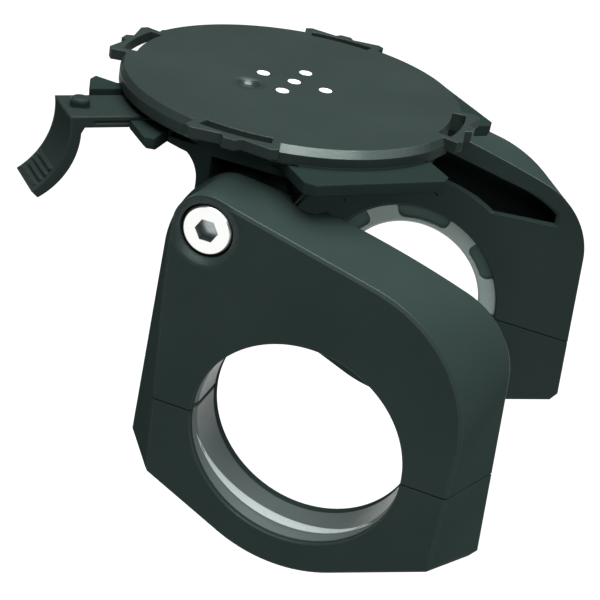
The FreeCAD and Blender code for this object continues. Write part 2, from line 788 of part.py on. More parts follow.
def grip_ribs():
    """Small ribs across the outer face of the grip, near its tip."""
    tip = on_grip(grip_tip)
    centre, radius = circle_through((arm_end, arm_top), on_grip(grip_waist), tip)
    tip_turn = math.degrees(math.atan2(tip[1] - centre[1], tip[0] - centre[0]))
    step = math.degrees(grip_rib_pitch / radius)
    ribs = []
    for i in range(grip_rib_count):
        spot = polar(centre, radius - grip_rib_radius / 3, tip_turn - step * (i + 1))
        start = Vector(spot[0], grip_rib_end - lever_width / 2, spot[1])
        ribs.append(Part.makeCylinder(grip_rib_radius, lever_width - 2 * grip_rib_end, start, Y))
    return ribs


def lever_profile(y):
    """Side view of the lever, along X from the plate's axis."""
    start = (lever_pivot, arm_top)
    end = (lever_pivot, arm_bottom)
    corner = (arm_end, arm_top)
    waist = on_grip(grip_waist)
    tip = on_grip(grip_tip)
    inner_tip = (tip[0] - grip_tip_thickness, tip[1] - grip_tip_thickness)
    inner_waist = (waist[0] - grip_thickness, waist[1])
    inner_start = (arm_end - grip_root, arm_bottom)
    inner_bend = (inner_start[0] + grip_root_bend / 2, arm_bottom - grip_root_bend)
    edges = [
        line(at(start, y), at(corner, y)),
        arc(at(corner, y), at(waist, y), at(tip, y)),
        line(at(tip, y), at(inner_tip, y)),
        arc(at(inner_tip, y), at(inner_waist, y), at(inner_bend, y)),
        line(at(inner_bend, y), at(inner_start, y)),
        line(at(inner_start, y), at(end, y)),
        line(at(end, y), at(start, y)),
    ]
    return Part.Wire(edges)


def lever_stud():
    """The small round stud on top of the arm."""
    root = Vector(stud_distance, 0, lever_pivot_height)
    straight = arm_top + stud_height - stud_edge
    stud = Part.makeCylinder(stud_radius, straight - lever_pivot_height, root, Z)
    tip = Vector(stud_distance, 0, straight)
    bevel = Part.makeCone(stud_radius, stud_radius - stud_edge, stud_edge, tip, Z)
    return stud.fuse(bevel)


def release_lever():
    """Built along X from the plate's axis, then turned to its place."""
    half = lever_width / 2
    eye = (lever_pivot, lever_pivot_height)
    lever = Part.Face(lever_profile(-half)).extrude(Y * lever_width)
    lever = lever.fuse(cylinder_y(lever_eye_radius, eye, -half, half))
    lever = lever.fuse(lever_stud())
    for rib in grip_ribs():
        lever = lever.fuse(rib)
    lever = lever.removeSplitter()
    groove_low = lever_pivot_height - groove_height / 2
    for low in (-half, half - groove_depth):
        lever = lever.cut(block((lever_pivot + groove_start, low, groove_low),
                                (arm_end - groove_end, low + groove_depth, groove_low + groove_height)))
    lever = lever.cut(Part.makeCylinder(spring_radius + spring_clearance, spring_recess,
                                        Vector(spring_distance, 0, arm_bottom), Z))
    lever = lever.cut(cylinder_y(lever_pin_radius + running_clearance, eye, -half - 1, half + 1))
    lever.rotate(Vector(0, 0, 0), Z, lever_angle)
    lever.translate(plate_centre)
    return lever


def lever_spring():
    """A coil of wire, drawn with straight steps and flat sides."""
    rise = spring_gap + spring_recess - spring_wire - 2 * spring_end_gap
    coil_radius = spring_radius - spring_wire / 2
    seat = plate_centre + Z * (spring_seat_height + spring_wire / 2 + spring_end_gap)
    turn = math.radians(lever_angle)
    seat = seat + Vector(math.cos(turn), math.sin(turn), 0) * spring_distance
    steps = spring_turns * spring_steps
    points = []
    for i in range(steps + 1):
        angle = 2 * math.pi * i / spring_steps
        place = Vector(coil_radius * math.cos(angle), coil_radius * math.sin(angle), rise * i / steps)
        points.append(seat + place)
    way = (points[1] - points[0]).normalize()
    side = way.cross(Z).normalize()
    up = side.cross(way)
    section = []
    for i in range(wire_sides + 1):
        angle = 2 * math.pi * i / wire_sides
        section.append(points[0] + (side * math.cos(angle) + up * math.sin(angle)) * (spring_wire / 2))
    path = Part.makePolygon(points)
    mitred = 1
    return path.makePipeShell([Part.makePolygon(section)], True, False, mitred)


def tab(angle):
    """A bayonet tab; its outer edge dips on both sides of a small tooth."""
    half = [
        (tab_half_angle, slot_inner - tab_root),
        (tab_half_angle, tab_radius - tab_corner_reach),
        (tab_half_angle - tab_corner, tab_radius),
        (tab_hollow_angle, tab_radius - tab_hollow),
        (tab_tooth_angle, tab_radius - tab_tooth_drop),
    ]
    points = [polar(bore, radius, turn) for turn, radius in half]
    points += [(p[0], -p[1]) for p in reversed(points)]
    return plan_piece(points, plate_top - tab_thickness, plate_top, angle)


def tab_slot(angle):
    return sector(slot_inner, slot_outer, plate_bottom - 1, plate_top + 1, angle, slot_half_angle)


def phone_plate():
    edge_low = plate_top - plate_edge_drop
    plate = disc(plate_edge_radius, plate_bottom, edge_low)
    rim = Part.makeCone(plate_edge_radius, plate_radius, plate_edge_drop, plate_centre + Z * edge_low, Z)
    plate = plate.fuse(rim)
    turns = [tab_turn + 90 * i for i in range(4)]
    for angle in turns:
        plate = plate.fuse(tab(angle))
    for angle in turns:
        plate = plate.cut(tab_slot(angle))
    turn = math.radians(dimple_angle)
    spot = plate_centre + Vector(math.cos(turn), math.sin(turn), 0) * dimple_distance
    dimple = Part.makeCone(dimple_floor, dimple_radius, dimple_depth, spot + Z * (plate_top - dimple_depth), Z)
    plate = plate.cut(dimple)
    for spot in rivet_spots():
        plate = plate.cut(Part.makeCylinder(rivet_radius, reach, spot, Z))
        head_seat = spot + Z * (plate_top - rivet_head_height)
        plate = plate.cut(Part.makeCylinder(rivet_head_radius, reach, head_seat, Z))
    return plate.removeSplitter()


def plate_rivets():
    rivets = []
    for spot in rivet_spots():
        head = Part.makeCylinder(rivet_head_radius, rivet_head_height + rivet_stand,
                                 spot + Z * (plate_top - rivet_head_height), Z)
        shank = Part.makeCylinder(rivet_radius, rivet_length - rivet_head_height,
                                  spot + Z * (plate_top - rivet_length), Z)
        rivets.append(head.fuse(shank).removeSplitter())
    return Part.makeCompound(rivets)


def build():
    near_upper, near_lower = clamp_halves(outer_half_width, near_top_slope, near_corner_height)
    far_upper, far_lower = clamp_halves(outer_half_width + far_extra_wall, far_top_slope, far_corner_height)
    liner_upper, liner_lower = split_ring(liner())
    reducer_upper, reducer_lower = split_ring(reducer())
    screws = clamp_screws()
    return {
        "phone_plate": phone_plate(),
        "plate_rivets": plate_rivets(),
        "carrier": carrier(),
        "release_lever": release_lever(),
        "lever_pin": lever_pin(),
        "lever_spring": lever_spring(),
        "near_clamp_upper": near_upper,
        "near_clamp_lower": near_lower,
        "far_clamp_upper": mirrored(far_upper),
        "far_clamp_lower": mirrored(far_lower),
        "near_clamp_screws": screws,
        "far_clamp_screws": mirrored(screws),
        "near_liner_upper": liner_upper,
        "near_liner_lower": liner_lower,
        "far_reducer_upper": mirrored(reducer_upper),
        "far_reducer_lower": mirrored(reducer_lower),
        "near_pivot_screw": pivot_screw(),
        "far_pivot_screw": mirrored(pivot_screw()),
        "near_pivot_insert": pivot_insert(),
        "far_pivot_insert": mirrored(pivot_insert()),
        "near_tilt_washer": tilt_washer(),
        "far_tilt_washer": mirrored(tilt_washer()),
    }


def main():
    os.makedirs("parts", exist_ok=True)
    for name, shape in build().items():
        shape.exportStep(os.path.join("parts", name + ".step"))
        box = shape.BoundBox
        print(name, "valid" if shape.isValid() else "NOT VALID", len(shape.Solids), "solids",
              round(shape.Volume, 1), [round(v, 1) for v in (box.XMin, box.YMin, box.ZMin, box.XMax,
                                                             box.YMax, box.ZMax)])


main()
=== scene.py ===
"""The looks of a bicycle phone mount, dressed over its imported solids.

Lengths are in metres, and in millimetres where a name ends in _mm.
"""
import logging
import math
from dataclasses import dataclass, field
from enum import Enum
from typing import Any

import bmesh
import bpy
from mathutils import Euler, Matrix, Vector


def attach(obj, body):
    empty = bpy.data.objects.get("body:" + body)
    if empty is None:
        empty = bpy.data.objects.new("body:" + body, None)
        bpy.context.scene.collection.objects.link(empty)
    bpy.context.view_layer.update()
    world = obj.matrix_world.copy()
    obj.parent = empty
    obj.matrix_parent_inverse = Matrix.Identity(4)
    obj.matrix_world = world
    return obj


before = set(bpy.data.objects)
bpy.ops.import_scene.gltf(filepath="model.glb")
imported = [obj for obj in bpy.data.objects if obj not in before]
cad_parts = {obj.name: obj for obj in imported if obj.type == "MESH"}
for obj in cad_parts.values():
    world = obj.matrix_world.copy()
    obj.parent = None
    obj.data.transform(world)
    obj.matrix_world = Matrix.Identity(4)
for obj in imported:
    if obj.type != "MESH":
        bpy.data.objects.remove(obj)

LOG = logging.getLogger("phone_mount")
MM = 0.001
MERGE_MM = 0.001            # corners of a piece this close are one
Point = tuple[float, float, float]

# Which values of a noise, a bend or a direction a finish answers to, from 0 to 1.
CLOUD_RANGE = (0.35, 0.7)   # noise between which the dye changes
CLOUD_DETAIL = 3.0
GRAIN_RANGE = (0.3, 0.7)    # noise between which the grain dulls the surface
GRAIN_DETAIL = 2.0
GRAIN_STRENGTH = 0.5
RING_DETAIL = 1.0
RING_STRENGTH = 0.3
ROUGHNESS_SPREAD = 0.05     # how far the grain takes the roughness up and down
WEAR_STARTS = 0.998         # cosine of the bend at an edge where wear starts
WEAR_IS_FULL = 0.93
UPWARD_RISE = 0.35          # rise of the normal above which an edge is handled as much as a top one
HIGHLIGHT_STARTS = 0.8        # cosine between a face and the way of the painted highlight
HIGHLIGHT_IS_FULL = 0.975
SOCKET_SHADE_RANGE = (0.6, 0.8)    # share of open air between which the painted shade gives way to bare metal
SOCKET_SHADE_SAMPLES = 8
BEVEL_SAMPLES = 6
PLASTIC_IOR = 1.5           # nylon has 1.53 and acetal 1.48

# Sockets of the mix node, which has a set for each kind of data under the same names.
FIRST_VECTOR = 4
SECOND_VECTOR = 5
FIRST_COLOUR = 6
SECOND_COLOUR = 7
MIXED_VECTOR = 1
MIXED_COLOUR = 2
TO_OBJECT: dict[str, str] = {"vector_type": "NORMAL", "convert_from": "WORLD", "convert_to": "OBJECT"}


class Side(Enum):
    """The two clamps, named as the camera sees them."""

    NEAR = "near"
    FAR = "far"


class Grain(Enum):
    """The grain that a mould leaves, as its width and depth in millimetres.

    A real spark-eroded grain is near 0.15 mm wide; it is drawn coarser so that it shows.
    """

    SPARK_ERODED = (0.55, 0.012)
    POLISHED = (1.3, 0.002)

    @property
    def width_mm(self) -> float:
        """How wide one bump of the grain is."""
        return self.value[0]

    @property
    def depth_mm(self) -> float:
        """How deep the grain is."""
        return self.value[1]


def linear(hex_colour: str) -> tuple[float, float, float, float]:
    """Turns an sRGB hex colour into a linear one.

    Args:
        hex_colour: Six hex digits, with or without a leading hash.

    Returns:
        Red, green, blue and an alpha of 1, in linear light.
    """
    digits = hex_colour.lstrip("#")
    channels = [int(digits[i:i + 2], 16) / 255 for i in (0, 2, 4)]
    curve = [c / 12.92 if c <= 0.04045 else ((c + 0.055) / 1.055) ** 2.4 for c in channels]
    return curve[0], curve[1], curve[2], 1.0


def per_metre(size_mm: float) -> float:
    """The scale of a pattern in object coordinates whose feature measures size_mm."""
    return 1.0 / (size_mm * MM)


def add(tree: bpy.types.NodeTree, kind: str, settings: dict[Any, Any] | None = None,
        links: dict[Any, Any] | None = None) -> bpy.types.Node:
    """Adds a node with its settings and links.

    Args:
        tree: The node tree of a material or world.
        kind: The node's type name.
        settings: Attributes of the node, or values of its inputs by name or number.
        links: Output sockets of other nodes, by the input they feed.

    Returns:
        The new node.
    """
    node = tree.nodes.new(kind)
    for key, value in (settings or {}).items():
        if isinstance(key, str) and hasattr(node, key):
            setattr(node, key, value)
        else:
            node.inputs[key].default_value = value
    for key, source in (links or {}).items():
        tree.links.new(source, node.inputs[key])
    return node


def empty_tree(name: str) -> tuple[bpy.types.Material, bpy.types.NodeTree]:
    """Makes a material with an empty node tree.

    Args:
        name: The material's name.

    Returns:
        The material and its tree.
    """
    material = bpy.data.materials.new(name)
    material.use_nodes = True
    material.node_tree.nodes.clear()
    return material, material.node_tree


@dataclass(frozen=True)
class Hollow:
    """A shallow round hollow with soft edges in a moulded face, as around a screw."""

    centre_mm: Point
    radius_mm: float    # where it starts to sink
    floor_mm: float     # the radius of its flat floor
    depth_mm: float


NO_HOLLOW = Hollow(centre_mm=(0.0, 0.0, 0.0), radius_mm=0.002, floor_mm=0.001, depth_mm=0.0)


@dataclass(frozen=True)
class MouldedPlastic:
    """An injection moulded plastic; as it stands, glass-filled nylon dyed a dark greenish grey.

    The glass gives a dry, even, low sheen; the mould leaves a fine grain, and the dye
    clouds faintly over a few centimetres.
    """

    name: str
    colour: str = "#26312F"
    cloud_colour: str = "#293432"
    grain: Grain = Grain.SPARK_ERODED
    roughness: float = 0.42
    sheen_light: float = 0.0    # the glass and the grain leave the faces almost no shine
    shine_colour: str = "#DDEBE6"   # the dye tints the shine a little too
    cloud_mm: float = 14.0
    edge_mm: float = 0.22       # the small radius that a mould leaves on an edge
    edge_sheen: float = 0.7     # edges are rubbed smooth by handling
    edge_roughness: float = 0.3
    side_wear: float = 0.25     # the share of that wear on edges that don't look up
    seam_mm: float = 0.0        # edges this near to the clamp's split stay crisp and dull
    highlight_way: Point = (0.0, 0.0, 0.0)     # faces that look this way get a painted highlight, paler and shinier; zero for none
    highlight_sheen: float = 1.0
    highlight_roughness: float = 0.2
    painted_highlight_colour: str = "#4E5A57"          # painted highlight: a paler colour on the faces that look towards the lamps
    hollow: Hollow = NO_HOLLOW
    hollow_sheen: float = 0.4

    def edge_wear(self, tree: bpy.types.NodeTree, place: bpy.types.Node, edge: bpy.types.Node,
                  flat: bpy.types.Node) -> bpy.types.Node:
        """Adds the nodes that find the edges which handling has rubbed smooth.

        Args:
            tree: The material's node tree.
            place: The node that gives object coordinates.
            edge: The node that rounds the normal at edges.
            flat: The node that gives the plain normal.

        Returns:
            The node whose result is 0 on a face and up to 1 on a worn edge.
        """
        bend = add(tree, "ShaderNodeVectorMath", {"operation": "DOT_PRODUCT"},
                   {0: edge.outputs["Normal"], 1: flat.outputs["Normal"]})
        spot = add(tree, "ShaderNodeSeparateXYZ", None, {"Vector": place.outputs["Object"]})
        seam = add(tree, "ShaderNodeMath", {"operation": "COMPARE", 1: 0.0, 2: self.seam_mm * MM},
                   {0: spot.outputs["Z"]})
        lean = add(tree, "ShaderNodeVectorTransform", TO_OBJECT, {"Vector": edge.outputs["Normal"]})
        rise = add(tree, "ShaderNodeSeparateXYZ", None, {"Vector": lean.outputs["Vector"]})
        upper = add(tree, "ShaderNodeMapRange", {"From Max": UPWARD_RISE, "To Min": self.side_wear},
                    {"Value": rise.outputs["Z"]})
        handled = add(tree, "ShaderNodeMapRange", {"To Max": 0.0},
                      {"Value": seam.outputs["Value"], "To Min": upper.outputs["Result"]})
        return add(tree, "ShaderNodeMapRange", {"From Min": WEAR_STARTS, "From Max": WEAR_IS_FULL},
                   {"Value": bend.outputs["Value"], "To Max": handled.outputs["Result"]})

    def highlight_faces(self, tree: bpy.types.NodeTree, flat: bpy.types.Node) -> bpy.types.Node:
        """Adds the nodes that find the faces which look the way that gets a painted highlight.

        Args:
            tree: The material's node tree.
            flat: The node that gives the plain normal.

        Returns:
            The node whose result is 1 where the painted highlight is full.
        """
        facing = add(tree, "ShaderNodeVectorTransform", TO_OBJECT, {"Vector": flat.outputs["True Normal"]})
        way = add(tree, "ShaderNodeVectorMath", {"operation": "DOT_PRODUCT", 1: self.highlight_way},
                  {0: facing.outputs["Vector"]})
        return add(tree, "ShaderNodeMapRange", {"From Min": HIGHLIGHT_STARTS, "From Max": HIGHLIGHT_IS_FULL},
                   {"Value": way.outputs["Value"]})

    def normal(self, tree: bpy.types.NodeTree, away: bpy.types.Node, grain: bpy.types.Node,
               form: bpy.types.Node) -> bpy.types.Node:
        """Adds the nodes that sink the hollow and raise the mould's grain.

        Args:
            tree: The material's node tree.
            away: The node that gives the distance from the hollow's centre.
            grain: The node that gives the grain's height.
            form: The node that gives the surface's own normal.

        Returns:
            The node that gives the finished normal.
        """
        sunk = add(tree, "ShaderNodeMapRange",
                   {"interpolation_type": "SMOOTHSTEP", "From Min": self.hollow.floor_mm * MM,
                    "From Max": self.hollow.radius_mm * MM, "To Min": -self.hollow.depth_mm * MM,
                    "To Max": 0.0},
                   {"Value": away.outputs["Value"]})
        dish = add(tree, "ShaderNodeBump", {"Strength": 1.0, "Distance": 1.0},
                   {"Height": sunk.outputs["Result"], "Normal": form.outputs[MIXED_VECTOR]})
        return add(tree, "ShaderNodeBump",
                   {"Strength": GRAIN_STRENGTH, "Distance": self.grain.depth_mm * MM},
                   {"Height": grain.outputs["Fac"], "Normal": dish.outputs["Normal"]})

    def build(self) -> bpy.types.Material:
        """Makes the material.

        Returns:
            The material.
        """
        material, tree = empty_tree(self.name)
        place = add(tree, "ShaderNodeTexCoord")
        cloud = add(tree, "ShaderNodeTexNoise",
                    {"Scale": per_metre(self.cloud_mm), "Detail": CLOUD_DETAIL},
                    {"Vector": place.outputs["Object"]})
        grain = add(tree, "ShaderNodeTexNoise",
                    {"Scale": per_metre(self.grain.width_mm), "Detail": GRAIN_DETAIL},
                    {"Vector": place.outputs["Object"]})
        tint = add(tree, "ShaderNodeValToRGB", None, {"Fac": cloud.outputs["Fac"]})
        for stop, place_on_ramp, shade in zip(tint.color_ramp.elements, CLOUD_RANGE,
                                              (self.colour, self.cloud_colour)):
            stop.position = place_on_ramp
            stop.color = linear(shade)
        dull = add(tree, "ShaderNodeMapRange", {"From Min": GRAIN_RANGE[0], "From Max": GRAIN_RANGE[1],
                                                "To Min": self.roughness - ROUGHNESS_SPREAD,
                                                "To Max": self.roughness + ROUGHNESS_SPREAD},
                   {"Value": grain.outputs["Fac"]})
        edge = add(tree, "ShaderNodeBevel", {"samples": BEVEL_SAMPLES, "Radius": self.edge_mm * MM})
        flat = add(tree, "ShaderNodeNewGeometry")
        worn = self.edge_wear(tree, place, edge, flat)
        sheen = add(tree, "ShaderNodeMapRange", {"To Min": self.sheen_light, "To Max": self.edge_sheen},
                    {"Value": worn.outputs["Result"]})
        smooth = add(tree, "ShaderNodeMapRange", {"To Max": self.edge_roughness},
                     {"Value": worn.outputs["Result"], "To Min": dull.outputs["Result"]})
        # Painted highlight: faces that look one way get a paler colour, more shine and less roughness.
        highlit = self.highlight_faces(tree, flat)
        paint = add(tree, "ShaderNodeMix", {"data_type": "RGBA", SECOND_COLOUR: linear(self.painted_highlight_colour)},
                    {0: highlit.outputs["Result"], FIRST_COLOUR: tint.outputs["Color"]})
        rough = add(tree, "ShaderNodeMapRange", {"To Max": self.highlight_roughness},
                    {"Value": highlit.outputs["Result"], "To Min": smooth.outputs["Result"]})
        form = add(tree, "ShaderNodeMix", {"data_type": "VECTOR"},
                   {0: highlit.outputs["Result"], FIRST_VECTOR: edge.outputs["Normal"],
                    SECOND_VECTOR: flat.outputs["Normal"]})
        away = add(tree, "ShaderNodeVectorMath",
                   {"operation": "DISTANCE", 1: tuple(v * MM for v in self.hollow.centre_mm)},
                   {0: place.outputs["Object"]})
        inside = add(tree, "ShaderNodeMapRange",
                     {"From Min": self.hollow.radius_mm * MM, "From Max": self.hollow.floor_mm * MM,
                      "To Max": self.hollow_sheen},
                     {"Value": away.outputs["Value"], "To Min": sheen.outputs["Result"]})
        gloss = add(tree, "ShaderNodeMapRange", {"To Max": self.highlight_sheen},
                    {"Value": highlit.outputs["Result"], "To Min": inside.outputs["Result"]})
        bump = self.normal(tree, away, grain, form)
        shader = add(tree, "ShaderNodeBsdfPrincipled",
                     {"IOR": PLASTIC_IOR, "Specular Tint": linear(self.shine_colour),
                      "Specular IOR Level": self.sheen_light},
                     {"Base Color": paint.outputs[MIXED_COLOUR], "Roughness": rough.outputs["Result"],
                      "Specular IOR Level": gloss.outputs["Result"], "Normal": bump.outputs["Normal"]})
        add(tree, "ShaderNodeOutputMaterial", None, {"Surface": shader.outputs["BSDF"]})
        return material


@dataclass(frozen=True)
class TurnedMetal:
    """Steel or brass, turned or rolled, with faint rings that soften its shine, and painted shade in narrow
    sockets.
    """

    name: str
    colour: str
    roughness: float = 0.3
    ring_mm: float = 0.25
    ring_depth_mm: float = 0.004
    socket_shade_colour: str = "#959F9E"
    socket_shade_mm: float = 2.4       # sockets and corners this narrow get painted shade

    def build(self) -> bpy.types.Material:
        """Makes the material.

        Returns:
            The material.
        """
        material, tree = empty_tree(self.name)
        place = add(tree, "ShaderNodeTexCoord")
        rings = add(tree, "ShaderNodeTexNoise", {"Scale": per_metre(self.ring_mm), "Detail": RING_DETAIL},
                    {"Vector": place.outputs["Object"]})
        dull = add(tree, "ShaderNodeMapRange", {"To Min": self.roughness - ROUGHNESS_SPREAD,
                                                "To Max": self.roughness + ROUGHNESS_SPREAD},
                   {"Value": rings.outputs["Fac"]})
        bump = add(tree, "ShaderNodeBump",
                   {"Strength": RING_STRENGTH, "Distance": self.ring_depth_mm * MM},
                   {"Height": rings.outputs["Fac"]})
        # Painted shade: the colour turns grey where ambient occlusion finds narrow sockets and corners.
        open_air = add(tree, "ShaderNodeAmbientOcclusion",
                       {"samples": SOCKET_SHADE_SAMPLES, "Distance": self.socket_shade_mm * MM})
        tint = add(tree, "ShaderNodeValToRGB", None, {"Fac": open_air.outputs["AO"]})
        for stop, place_on_ramp, shade in zip(tint.color_ramp.elements, SOCKET_SHADE_RANGE,
                                              (self.socket_shade_colour, self.colour)):
            stop.position = place_on_ramp
            stop.color = linear(shade)
        shader = add(tree, "ShaderNodeBsdfPrincipled", {"Metallic": 1.0},
                     {"Base Color": tint.outputs["Color"], "Roughness": dull.outputs["Result"],
                      "Normal": bump.outputs["Normal"]})
        add(tree, "ShaderNodeOutputMaterial", None, {"Surface": shader.outputs["BSDF"]})
        return material


def dress(node: str, finish: bpy.types.Material) -> None:
    """Gives a carried-over solid its finish.

    Args:
        node: The solid's name.
        finish: The material that all its slots get.
    """
    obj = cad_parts[node]
    if not obj.material_slots:
        obj.data.materials.append(finish)
    for slot in obj.material_slots:
        slot.material = finish
    LOG.info("%s wears %s", node, finish.name)


def about_bar(radius: float, along: float, turn: float) -> Vector:
    """The point at a radius and angle about the bar's axis, and a place along it."""
    return Vector((radius * math.cos(turn), along, radius * math.sin(turn)))


def wrap(name: str, sections: list[list[Vector]], closed: bool, finish: bpy.types.Material) -> bpy.types.Object:
    """Makes a thin piece of the clamps from cross-sections that follow each other round.

    Args:
        name: The piece's name.
        sections: The cross-sections, each with as many corners as the others.
        closed: Whether the last section meets the first.
        finish: The piece's material.

    Returns:
        The piece, which rides on the clamps.
    """
    form = bmesh.new()
    rings = [[form.verts.new(corner) for corner in section] for section in sections]
    following = rings[1:] + rings[:1] if closed else rings[1:]
    for here, there in zip(rings, following):
        for side in range(len(here)):
            after = (side + 1) % len(here)
            form.faces.new((here[side], here[after], there[after], there[side]))
    bmesh.ops.remove_doubles(form, verts=form.verts, dist=MERGE_MM * MM)
    bare_edges = [edge for edge in form.edges if not edge.link_faces]
    bmesh.ops.delete(form, geom=bare_edges, context="EDGES")
    bmesh.ops.recalc_face_normals(form, faces=form.faces)
    mesh = bpy.data.meshes.new(name)
    form.to_mesh(mesh)
    form.free()
    piece = bpy.data.objects.new(name, mesh)
    bpy.context.scene.collection.objects.link(piece)
    mesh.materials.append(finish)
    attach(piece, "clamps")
    LOG.info("made %s", name)
    return piece


@dataclass(frozen=True)
class PinMark:
    """A small dark mark that an ejector pin leaves on a moulded face, with a soft edge."""

    name: str
    centre_mm: Point
    radius_mm: float = 0.33
    flat_share: float = 0.7     # of the radius
    height_mm: float = 0.04
    steps: int = 24

    def build(self, finish: bpy.types.Material) -> bpy.types.Object:
        """Makes the mark on a face that looks along -Y.

        Args:
            finish: The material of the mark.

        Returns:
            The mark's object.
        """
        half = self.height_mm / 2
        profile = ((0.0, -half), (self.flat_share * self.radius_mm, -half), (self.radius_mm, 0.0),
                   (self.radius_mm, half), (0.0, half))
        sections = []
        for step in range(self.steps):
            turn = 2 * math.pi * step / self.steps
            sections.append([(Vector(self.centre_mm) + about_bar(r, y, turn)) * MM for r, y in profile])
        return wrap(self.name, sections, True, finish)


@dataclass(frozen=True)
class PocketFloor:
    """The web that closes the pockets of the far reducer, part of the way in."""

    name: str = "far_pocket_floor"
    along_mm: float = 53.1
    thickness_mm: float = 0.6
    inner_mm: float = 13.2      # inside the reducer's own wall
    outer_mm: float = 16.6      # just inside the clamp's seat
    steps: int = 96

    def build(self, finish: bpy.types.Material) -> bpy.types.Object:
        """Makes the web as a flat ring about the bar.

        Args:
            finish: The material of the web.

        Returns:
            The web's object.
        """
        front, back = self.along_mm, self.along_mm + self.thickness_mm
        profile = ((self.inner_mm, front), (self.outer_mm, front),
                   (self.outer_mm, back), (self.inner_mm, back))
        sections = []
        for step in range(self.steps):
            turn = 2 * math.pi * step / self.steps
            sections.append([about_bar(r, y, turn) * MM for r, y in profile])
        return wrap(self.name, sections, True, finish)


@dataclass(frozen=True)
class BoreBand:
    """A thin band on the inside of the near liner, as wide as its two edges say.

    The liner's mouth is a cone, and the band follows it.
    """

    name: str
    near_mm: float              # its near edge along the bar, at both ends
    far_mm: float
    near_bulge_mm: float = 0.0  # how far each edge moves along the bar, halfway
    far_bulge_mm: float = 0.0
    start_angle: float = 0.0
    end_angle: float = 360.0
    bar_radius_mm: float = 15.9
    cone_end_mm: float = -2.56
    cone_slope: float = 0.42
    proud_mm: float = 0.03
    thickness_mm: float = 0.06
    steps: int = 96

    def wall_mm(self, along: float) -> float:
        """The radius of the liner's inside at a place along the bar."""
        return self.bar_radius_mm + self.cone_slope * max(0.0, self.cone_end_mm - along)

    def section(self, share: float) -> list[Vector]:
        """The four corners of the band at one place round the bore.

        Args:
            share: How far round the band, from 0 to 1.

        Returns:
            The corners, in metres.
        """
        turn = math.radians(self.start_angle + share * (self.end_angle - self.start_angle))
        bulge = math.sin(math.pi * share)
        near = self.near_mm + bulge * self.near_bulge_mm
        far = self.far_mm + bulge * self.far_bulge_mm
        corners = []
        for along, sunk in ((near, 0.0), (far, 0.0), (far, self.thickness_mm), (near, self.thickness_mm)):
            radius = self.wall_mm(along) - self.proud_mm + sunk
            corners.append(about_bar(radius, along, turn) * MM)
        return corners

    def build(self, finish: bpy.types.Material, slot: str) -> bpy.types.Object:
        """Makes the band.

        Args:
            finish: The material of the band.
            slot: Not used.

        Returns:
            The band's object.
        """
        closed = self.end_angle - self.start_angle >= 360.0
        count = self.steps if closed else self.steps + 1
        sections = [self.section(step / self.steps) for step in range(count)]
        return wrap(self.name, sections, closed, finish)


@dataclass
class PhotoCamera:
    """The camera at the photograph's place, with its roll."""

    place_mm: Point = (41.52, -167.45, 111.33)
    azimuth: float = 15.33
    elevation: float = 27.71
    roll: float = 10.61
    focal_px: float = 1414.86
    image_px: int = 600
    sensor_mm: float = 36.0
    nearest: float = 0.01
    farthest: float = 20.0

    def build(self) -> bpy.types.Object:
        """Makes the camera and sets it as the scene's own.

        Returns:
            The camera's object.
        """
        data = bpy.data.cameras.new("photo_camera")
        data.sensor_fit = "HORIZONTAL"
        data.sensor_width = self.sensor_mm
        data.lens = self.sensor_mm * self.focal_px / self.image_px
        data.clip_start = self.nearest
        data.clip_end = self.farthest
        camera = bpy.data.objects.new("photo_camera", data)
        bpy.context.scene.collection.objects.link(camera)
        aim = Euler((math.radians(90 - self.elevation), 0, math.radians(self.azimuth))).to_matrix()
        turn = aim @ Matrix.Rotation(math.radians(self.roll), 3, "Z")
        camera.matrix_world = Matrix.Translation(Vector(self.place_mm) * MM) @ turn.to_4x4()
        bpy.context.scene.camera = camera
        return camera


@dataclass
class SoftBox:
    """One rectangular soft box, close by."""

    name: str
    place: Point
    width: float
    height: float
    power: float
    aim: Point = (-0.005, 0.028, 0.01)

    def build(self) -> bpy.types.Object:
        """Makes the light, turned to its aim.

        Returns:
            The light's object.
        """
        data = bpy.data.lights.new(self.name, "AREA")
        data.shape = "RECTANGLE"
        data.size = self.width
        data.size_y = self.height
        data.energy = self.power
        lamp = bpy.data.objects.new(self.name, data)
        bpy.context.scene.collection.objects.link(lamp)
        lamp.location = self.place
        lamp.rotation_euler = (Vector(self.place) - Vector(self.aim)).to_track_quat("Z", "Y").to_euler()
        return lamp


@dataclass
class CeilingLight:
    """A wide lit ceiling far above, which lights the floor evenly."""

    name: str = "ceiling_light"
    direction: Point = (0.08, -0.03, 1.0)
    strength: float = 7.6
    spread: float = 70.0

    def build(self) -> bpy.types.Object:
        """Makes the light.

        Returns:
            The light's object.
        """
        data = bpy.data.lights.new(self.name, "SUN")
        data.energy = self.strength
        data.angle = math.radians(self.spread)
        lamp = bpy.data.objects.new(self.name, data)
        bpy.context.scene.collection.objects.link(lamp)
        lamp.rotation_euler = Vector(self.direction).to_track_quat("Z", "Y").to_euler()
        return lamp


